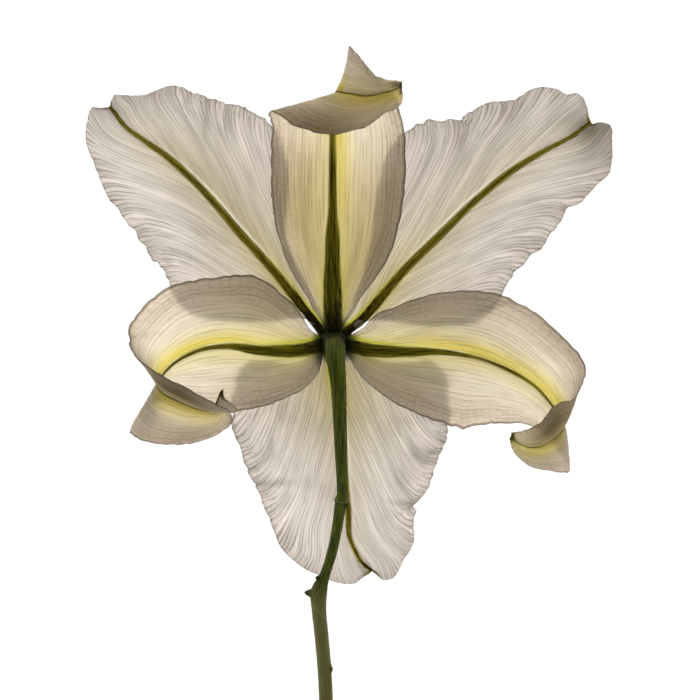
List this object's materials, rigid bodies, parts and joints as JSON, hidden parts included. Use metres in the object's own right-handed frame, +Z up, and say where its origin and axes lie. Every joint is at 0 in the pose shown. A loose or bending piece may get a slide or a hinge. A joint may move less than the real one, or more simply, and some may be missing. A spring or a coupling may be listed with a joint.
{
  "type": "lily flower",
  "caption": "Open lily flower lying face down on a short cut stem, with recurved pale tepals, stamens and a pistil underneath.",
  "frame": {"origin": "bottom centre of the flower's bounding box, on the surface it lies on", "axes": "+Z up, away from the surface and toward the stem side of the flower; +Y from the stem's cut end toward the top outer tepal; +X to the right seen from above"},
  "size_m": [0.195, 0.2556, 0.076],
  "materials": {
    "inner_tepal": "thin waxy petal tissue, satin, lets light through",
    "outer_tepal": "thin waxy petal tissue with greenish yellow along the midrib, lets light through",
    "stem": "smooth waxy green stalk, satin",
    "filament": "smooth pale green stalk, satin",
    "anther": "powdery rust-brown pollen, matt",
    "pistil": "smooth green stalk with a damp stigma, satin"
  },
  "bodies": {
    "root": {"tepal_inner_left": "inner_tepal", "tepal_inner_right": "inner_tepal", "tepal_inner_bottom": "inner_tepal", "tepal_outer_top": "outer_tepal", "tepal_outer_left": "outer_tepal", "tepal_outer_right": "outer_tepal", "stem": "stem", "filament_east": "filament", "filament_northeast": "filament", "filament_north": "filament", "filament_northwest": "filament", "filament_west": "filament", "filament_south": "filament", "anther_east": "anther", "anther_northeast": "anther", "anther_north": "anther", "anther_northwest": "anther", "anther_west": "anther", "anther_south": "anther", "pistil": "pistil"}
  },
  "joints": []
}
